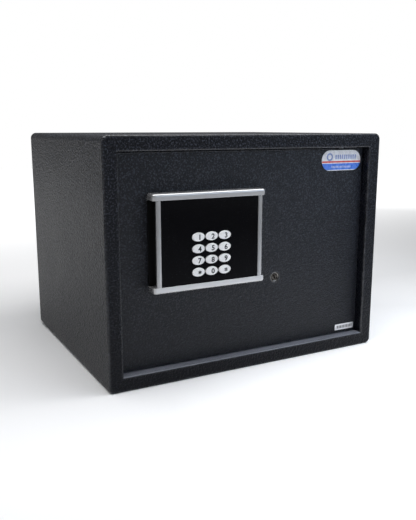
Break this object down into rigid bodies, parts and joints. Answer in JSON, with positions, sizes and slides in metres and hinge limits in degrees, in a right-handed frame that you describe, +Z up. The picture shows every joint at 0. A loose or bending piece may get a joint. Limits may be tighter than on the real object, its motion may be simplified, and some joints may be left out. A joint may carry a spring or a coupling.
{
  "type": "safe",
  "caption": "Small electronic safe: folded steel cabinet, recessed hinged door, keypad unit with finger grip, motor-driven locking bolts and a key override.",
  "frame": {"origin": "centre of the cabinet's base, on the surface the safe stands on", "axes": "+X across the front towards the hinge side, +Y from the door to the rear, +Z up"},
  "size_m": [0.39, 0.3209, 0.293],
  "materials": {
    "cabinet_paint": "black powder coat with a fine hammered grain",
    "door_paint": "black powder coat with a fine hammered grain",
    "zinc_steel": "dull zinc plate",
    "bright_steel": "bright nickel plate",
    "satin_silver": "satin silver",
    "gloss_black": "high gloss",
    "black_plastic": "fine moulded grain",
    "key_white": "semi-gloss",
    "grey_felt": "needled felt",
    "board_green": "solder resist",
    "cell_blue": "gloss sleeve",
    "silicone_grey": "matt",
    "reset_red": "semi-gloss",
    "label_film": "printed gloss film",
    "plate_silver": "printed satin foil"
  },
  "bodies": {
    "cabinet": {"cabinet_shell": "cabinet_paint", "rear_panel": "cabinet_paint", "door_frame_liner": "cabinet_paint", "door_stop_upper": "cabinet_paint", "door_stop_lower": "cabinet_paint", "hinge_pin_upper": "zinc_steel", "hinge_pin_lower": "zinc_steel", "floor_mat": "grey_felt"},
    "door": {"door_pan": "cabinet_paint", "door_plate": "door_paint", "hinge_block_upper": "zinc_steel", "hinge_block_lower": "zinc_steel", "cover_screw_1": "zinc_steel", "cover_screw_2": "zinc_steel", "cover_screw_3": "zinc_steel", "cover_screw_4": "zinc_steel", "guide_stud_upper": "zinc_steel", "guide_stud_lower": "zinc_steel", "gear_motor": "zinc_steel", "motor_bracket": "zinc_steel", "lock_nut": "zinc_steel", "lock_cylinder": "bright_steel", "trim_top": "satin_silver", "trim_bottom": "satin_silver", "trim_left": "satin_silver", "trim_right": "satin_silver", "fascia": "gloss_black", "inner_cover": "black_plastic", "battery_box": "black_plastic", "keypad_housing": "black_plastic", "display_module": "black_plastic", "control_board": "board_green", "keypad_board": "board_green", "battery_1": "cell_blue", "battery_2": "cell_blue", "battery_3": "cell_blue", "battery_4": "cell_blue", "key_mat": "silicone_grey", "label_sticker": "label_film", "rating_plate": "plate_silver"},
    "bolts": {"bolt_upper": "bright_steel", "bolt_lower": "bright_steel", "bolt_carriage": "zinc_steel"},
    "pinion": {"motor_pinion": "bright_steel"},
    "key_plug": {"lock_plug": "bright_steel", "lock_cam": "zinc_steel"},
    "battery_lid": {"battery_cover": "black_plastic"},
    "reset": {"reset_button": "reset_red"},
    "button_1": {"key_1": "key_white"},
    "button_2": {"key_2": "key_white"},
    "button_3": {"key_3": "key_white"},
    "button_4": {"key_4": "key_white"},
    "button_5": {"key_5": "key_white"},
    "button_6": {"key_6": "key_white"},
    "button_7": {"key_7": "key_white"},
    "button_8": {"key_8": "key_white"},
    "button_9": {"key_9": "key_white"},
    "button_star": {"key_star": "key_white"},
    "button_0": {"key_0": "key_white"},
    "button_hash": {"key_hash": "key_white"}
  },
  "joints": [
    {"name": "door_hinge", "type": "hinge", "parent": "cabinet", "child": "door", "pos_m": [0.1455, -0.138, 0], "axis": [0, 0, 1], "range_deg": [0, 100]},
    {"name": "bolt_slide", "type": "slide", "parent": "door", "child": "bolts", "axis": [-1, 0, 0], "range_m": [0, 0.015]},
    {"name": "pinion_spin", "type": "hinge", "parent": "door", "child": "pinion", "pos_m": [-0.062, -0.121, 0.1463], "axis": [0, 1, 0], "range_deg": [0, 115]},
    {"name": "key_turn", "type": "hinge", "parent": "door", "child": "key_plug", "pos_m": [0.0377, -0.136, 0.111], "axis": [0, -1, 0], "range_deg": [-90, 0]},
    {"name": "battery_cover_slide", "type": "slide", "parent": "door", "child": "battery_lid", "axis": [0, 0, -1], "range_m": [0, 0.062]},
    {"name": "reset_press", "type": "slide", "parent": "door", "child": "reset", "axis": [0, -1, 0], "range_m": [0, 0.002], "stiffness_N_per_m": 600},
    {"name": "press_1", "type": "slide", "parent": "door", "child": "button_1", "axis": [0, 1, 0], "range_m": [0, 0.0008], "stiffness_N_per_m": 1500},
    {"name": "press_2", "type": "slide", "parent": "door", "child": "button_2", "axis": [0, 1, 0], "range_m": [0, 0.0008], "stiffness_N_per_m": 1500},
    {"name": "press_3", "type": "slide", "parent": "door", "child": "button_3", "axis": [0, 1, 0], "range_m": [0, 0.0008], "stiffness_N_per_m": 1500},
    {"name": "press_4", "type": "slide", "parent": "door", "child": "button_4", "axis": [0, 1, 0], "range_m": [0, 0.0008], "stiffness_N_per_m": 1500},
    {"name": "press_5", "type": "slide", "parent": "door", "child": "button_5", "axis": [0, 1, 0], "range_m": [0, 0.0008], "stiffness_N_per_m": 1500},
    {"name": "press_6", "type": "slide", "parent": "door", "child": "button_6", "axis": [0, 1, 0], "range_m": [0, 0.0008], "stiffness_N_per_m": 1500},
    {"name": "press_7", "type": "slide", "parent": "door", "child": "button_7", "axis": [0, 1, 0], "range_m": [0, 0.0008], "stiffness_N_per_m": 1500},
    {"name": "press_8", "type": "slide", "parent": "door", "child": "button_8", "axis": [0, 1, 0], "range_m": [0, 0.0008], "stiffness_N_per_m": 1500},
    {"name": "press_9", "type": "slide", "parent": "door", "child": "button_9", "axis": [0, 1, 0], "range_m": [0, 0.0008], "stiffness_N_per_m": 1500},
    {"name": "press_star", "type": "slide", "parent": "door", "child": "button_star", "axis": [0, 1, 0], "range_m": [0, 0.0008], "stiffness_N_per_m": 1500},
    {"name": "press_0", "type": "slide", "parent": "door", "child": "button_0", "axis": [0, 1, 0], "range_m": [0, 0.0008], "stiffness_N_per_m": 1500},
    {"name": "press_hash", "type": "slide", "parent": "door", "child": "button_hash", "axis": [0, 1, 0], "range_m": [0, 0.0008], "stiffness_N_per_m": 1500}
  ],
  "couplings": [
    {"joint": "pinion_spin", "follows": "bolt_slide", "rad_per_m": 133.33}
  ]
}
